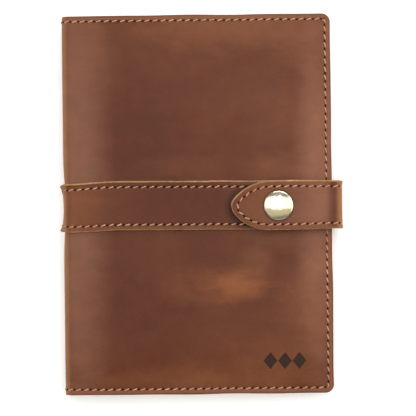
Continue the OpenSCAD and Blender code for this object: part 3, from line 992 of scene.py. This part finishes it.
# How far the pocket's open edge is bowed in, and how far its cut edges stand out
POCKET_BOW, POCKET_EDGE = 1.6, 0.4


def pocket(name, face):
    """Inside pocket, that meets the cover along its stitched margin."""
    x, y = plan_grid(pocket_low[0], 0.55)
    x = x + POCKET_BOW * smooth((pocket_low[0] + 12 - x) / 12) * (1 - (y / HALF_H) ** 2)
    d = inset(x, y)
    margin = 1 - smooth((d - 4.1) / 2.2)
    raised = inside(x, y) - POCKET_T - AIR
    dip = GROOVE * bell(d - STITCH_IN, GROOVE_W)
    z = pocket_low[2] * (1 - margin) + raised * margin + dip
    stack = [level(x, y, h, face) for h in (z, z + POCKET_T - dip)]
    return slab(name, *stack, [pocket_leather, flesh, raw_edge], [POCKET_EDGE] * 4)


finish_piece(pocket("front_inside_pocket", 1), "front", "lining_leather", "front_pocket")
finish_piece(pocket("back_inside_pocket", -1), "back", "lining_leather", "back_pocket")


# The notebook's boards and pages stand back from the CAD's, and the back of the pages is rounded
BOARD_T, BOARD_IN, BOARD_SPINE_IN, BOARD_R, BOARD_EDGE = 1.0, 0.4, 2.4, 4.0, 0.3
PAGES_LEFT = block_low[0] + 2.6
BACK_ROUND = 1.5


def board(name, face):
    """Notebook board lying against the cover, its corners at the fore edge rounded."""
    left, right = board_low[0] + BOARD_SPINE_IN, board_high[0] - BOARD_IN
    half, r, e = board_high[1] - BOARD_IN, BOARD_R, BOARD_EDGE
    ys = half - e - r + r * np.sin(spread((0, 6), math.pi / 2))
    ys = np.concatenate([np.linspace(0, half - e - r, 50)[:-1], ys])
    ys = np.concatenate([-ys[:0:-1], ys])
    limit = row_end(ys, right - e, half - e, r)
    x = left + e + (limit - left - e)[None] * spread((0, 10), (0.06, 50), (0.95, 10), 1)[:, None]
    y = np.repeat(ys[None], len(x), 0)
    top = inside(x, y) - 2 * AIR
    floor = np.where(x > pocket_low[0] - 3, pocket_low[2] + POCKET_T + 0.04, -100)
    low = np.maximum(top - BOARD_T, floor)
    return slab(name, *[level(x, y, h, face) for h in (top, low)], [card] * 3, [e] * 4)


finish_piece(board("notebook_front_board", 1), "front", "board", "front_board")
finish_piece(board("notebook_back_board", -1), "back", "board", "back_board")


def page_stack():
    """Block of pages with sheets a little out of line and a rounded back."""
    rng = np.random.default_rng(3)
    right, half, r = block_high[0] - 0.6, block_high[1], 3.5
    levels = np.linspace(block_low[2], block_high[2], 29)
    verts, faces = [], []
    corner = np.linspace(0, math.pi / 2, 7)
    for z in levels:
        back = BACK_ROUND * ((z - levels.mean()) / (levels[-1] - levels.mean())) ** 2
        jog = rng.uniform(-0.07, 0.07, 2)
        out = [(PAGES_LEFT + back, -half + 0.2), (PAGES_LEFT + back, half - 0.2)]
        out += [(right - r + r * math.sin(a), half - r + r * math.cos(a)) for a in corner]
        out += [(right - r + r * math.cos(a), -half + r - r * math.sin(a)) for a in corner]
        verts += [(x + jog[0], y + jog[1] * np.sign(y), z) for x, y in out]
    n = len(out)
    sides = [(i, (i + 1) % n) for i in range(n)]
    for low in range(0, (len(levels) - 1) * n, n):
        faces += [[low + i, low + n + i, low + n + j, low + j] for i, j in sides]
    faces += [list(range(n)), list(range((len(levels) - 1) * n, len(levels) * n))[::-1]]
    made = mesh_object("notebook_pages", verts, faces, [pages])
    # The top and bottom sheets are flat, so the rounding of the sides isn't smoothed into them
    for sheet in list(made.data.polygons)[-2:]:
        sheet.use_smooth = False
    return made


finish_piece(page_stack(), "back", "pages", "page_block")


def binding_strip():
    """Cloth glued round the rounded back of the pages."""
    a = spread((-1, 24), 1)
    mid, half = (block_low[2] + block_high[2]) / 2, (block_high[2] - block_low[2]) / 2
    y = np.linspace(-block_high[1] + 1.2, block_high[1] - 1.2, 40)
    aa, yy = np.meshgrid(a, y, indexing="ij")
    x = PAGES_LEFT + BACK_ROUND * aa**2 - 0.12
    z = mid + half * aa
    grids = [np.stack([x - t, yy, z], -1) for t in (0.35, 0)]
    return slab("notebook_binding", *grids, [binding] * 3, (0.05, 0.05, 0.1, 0.1))


finish_piece(binding_strip(), "back", "binding", "binding_cloth")


# Stitching of the cover, outside and inside
def inside_depth(points):
    return np.where(points[:, 0] > pocket_low[0], COVER_T + POCKET_T + AIR, COVER_T)


def cover_sewing(name, face, move, *nodes):
    outside, within = cover_row(face), cover_row(face, inside_depth)
    finish_piece(sew(name, [outside, within], 5 + face), move, "thread", *nodes)


cover_sewing("cover_front_stitches", 1, "front_fold", "front_thread", "spine_thread")
cover_sewing("cover_back_stitches", -1, "back_fold", "back_thread", "spine_thread")


# The strap: along the cover, then its loop beside the fore edge, and its tab
def line_on(layer, under, places):
    """Line over a layer of the strap and its normals, from the number of each row and the y there."""
    line = [between(y, layer[i, :, 1], layer[i]) for i, y in places]
    normals = [between(y, layer[i, :, 1], layer[i] - under[i]) for i, y in places]
    return np.array(line), unit(np.array(normals))


def straight_rows(layer, under):
    """Both rows of stitches along a stretch of strap."""
    rows = []
    for side, edges in ((-1, layer[:, :, 1].min(1)), (1, layer[:, :, 1].max(1))):
        places = list(enumerate(edges - side * (STITCH_IN - STRAP_EDGE)))
        rows.append(resampled(*line_on(layer, under, places)))
    return rows


def tab_row(top, under):
    """One row up one edge of the tab, round its point and back down the other."""
    there, back = [], []
    for i, row in enumerate(top):
        x, _, z = row[len(ACROSS) // 2]
        low, high = row[:, 1].min(), row[:, 1].max()
        centre, reach = (high + low) / 2, (high - low) / 2 + STRAP_EDGE - STITCH_IN
        if z > TAB_Z - 1.5 and x < POINT_X + 1:
            centre, reach = STRAP_Y - tab_drop(x), tab_half(x, STITCH_IN)[0]
        if reach >= 0.05:
            there.append((i, centre + reach))
            back.append((i, centre - reach))
    return [resampled(*line_on(top, under, there + back[::-1]))]


def strap_stretch(name, layers, outside, rows, seed, move, stretches, end_bulge):
    """Outer leather, lining and stitches of one stretch of the strap, for the CAD's stretches."""
    top, top_under, low, low_under = layers
    leathers, linings = [outside, flesh, raw_edge], [flesh, flesh, raw_edge]
    upper = slab(name + "_leather", top, top_under, leathers, (0, end_bulge, *LEATHER_EDGES))
    lower = slab(name + "_lining_leather", low, low_under, linings, (0, end_bulge, *LINING_EDGES))
    sewing = sew(name + "_stitches", rows(top, top_under), seed)
    finish_piece(upper, move, "strap_leather", *[f"strap_{s}_outer" for s in stretches])
    finish_piece(lower, move, "lining_leather", *[f"strap_{s}_lining" for s in stretches])
    finish_piece(sewing, move, "thread", *[f"strap_{s}_thread" for s in stretches])


for name, face, end_x, end_bulge in (("front", 1, RUN_END, 0.4), ("back", -1, 0.0, 0)):
    run = run_layers(spread((0, 8), (1, 12), (2, 20), (22, 90), panel_t(end_x, STRAP_Y)), face)
    strap_stretch(
        f"strap_{name}", run, run_leather, straight_rows, 60 + face,
        f"{name}_fold", (name, "spine"), end_bulge,
    )

side = loop_layers(spread((0, 50), (LOOP_FLAT, 14), (S_WALL, 6), S_SIDE), tab=False)
strap_stretch("strap_side", side, strap_leather, straight_rows, 70, "side_bend", ("back", "side"), 0)

point_s = S_TAB + LOOP_FLAT - POINT_X
point_reach = POINT_X - tab_half(0.0, STRAP_EDGE)[1]
point_turn = np.linspace(0, 1, 30) * math.pi / 2
tab_s = np.concatenate([
    spread((S_SIDE, 8), (S_TAB - LOOP_ARC, 14), (S_TAB, 40), point_s)[:-1],
    point_s + point_reach * np.sin(point_turn) * 0.9985,
])
tab = loop_layers(tab_s, tab=True)
strap_stretch("strap_tab", tab, strap_leather, tab_row, 71, "tab_bend", ("tab", "side"), STRAP_EDGE)


# Press stud: the cap is made new, and the pieces under it keep their CAD shape
def cap_profile():
    """Shallow dome, then a rolled rim."""
    rim, drop, side = 1.15, 1.35, 0.3
    ball = ((CAP_R - rim) ** 2 + drop**2) / (2 * drop)
    top = [(r, CAP_H - ball + math.sqrt(ball**2 - r * r)) for r in np.linspace(0, CAP_R - rim, 24)]
    start = math.radians(30)
    wide, high = rim / (1 - math.sin(start)), (CAP_H - drop - side) / math.cos(start)
    turn = np.linspace(start, math.pi / 2, 14)[1:]
    roll = [(CAP_R - wide + wide * math.sin(a), side + high * math.cos(a)) for a in turn]
    return top + roll + [(CAP_R - 0.1, -0.1), (CAP_R - 0.6, -0.2), (0, -0.2)]


cap = lathe("stud_cap", cap_profile(), (STUD_X, STRAP_Y, TAB_Z), brass)
finish_piece(cap, "strap_tab", "brass", "snap_cap")
for node in ("snap_post", "snap_socket", "snap_stud", "snap_eyelet", "snap_spring"):
    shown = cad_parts[node]
    shown.data.materials.clear()
    shown.data.materials.append(wire if node == "snap_spring" else brass)


# ---- Floor, lights and camera ----------------------------


bpy.ops.mesh.primitive_plane_add(size=8, location=(0, 0, -0.0002))
floor = bpy.context.object
floor.name = "floor"
floor_white, _, floor_shader = new_material("floor_white")
set_inputs(floor_shader, {"Base Color": (0.9, 0.9, 0.9, 1), "Roughness": 0.9, "Specular IOR Level": 0.1})
set_inputs(floor_shader, {"Emission Color": (1, 1, 1, 1), "Emission Strength": 0.3})
floor.data.materials.append(floor_white)


def softbox(name, place, aim, size_x, size_y, power, colour=(1, 1, 1)):
    """Rectangular light at place, turned to aim, both in metres."""
    light = bpy.data.lights.new(name, "AREA")
    light.shape = "RECTANGLE"
    light.size, light.size_y = size_x, size_y
    light.energy = power
    light.color = colour
    obj = add_object(name, light)
    obj.location = place
    obj.rotation_euler = (Vector(aim) - Vector(place)).to_track_quat("-Z", "Y").to_euler()
    obj.visible_camera = False


world = bpy.data.worlds.new("studio")
world.use_nodes = True
set_inputs(world.node_tree.nodes["Background"], {"Color": (1, 0.97, 0.92, 1), "Strength": 0.18})
bpy.context.scene.world = world
softbox("overhead", (0, 0.2, 1.2), (0, 0.2, 0), 2.4, 0.84, 9)
softbox("left_strip", (-0.24, 0.2, 1.1), (-0.24, 0.2, 0), 0.1, 0.8, 1.7)
softbox("right_strip", (0.19, 0.2, 1.1), (0.19, 0.2, 0), 0.1, 0.8, 2)
softbox("left_side", (-1.2, 0.15, 0.6), (0, 0, 0), 1.4, 0.7, 2.6)
softbox("right_side", (1.2, 0.15, 0.6), (0, 0, 0), 1.4, 0.7, 5.5)
softbox("head_key", (0.25, 1.25, 0.85), (0, 0, 0), 1.4, 0.5, 8.5)
softbox("foot_fill", (0.04, -0.42, 1.0), (0, 0, 0), 2.0, 0.46, 1.3, (1, 0.9, 0.56))
softbox("foot_low", (0, -1.3, 0.33), (0, 0, 0), 1.6, 0.36, 1)

scene = bpy.context.scene
scene.view_settings.view_transform = "Standard"
camera_data = bpy.data.cameras.new("camera")
camera = add_object("camera", camera_data)
SEEN_W, DISTANCE, SENSOR_W = 240.5, 950.0, 36
AIM_X, AIM_Y, ROLL = (SPINE_X + FORE_X) / 2 + 6.05, -2.1, -0.65
camera_data.sensor_width = SENSOR_W
camera_data.lens = SENSOR_W * DISTANCE / SEEN_W
camera.location = (AIM_X * MM, AIM_Y * MM, (TOP_Z + DISTANCE) * MM)
camera.rotation_euler = (0, 0, math.radians(ROLL))
camera_data.clip_start, camera_data.clip_end = 0.01, 20
scene.camera = camera
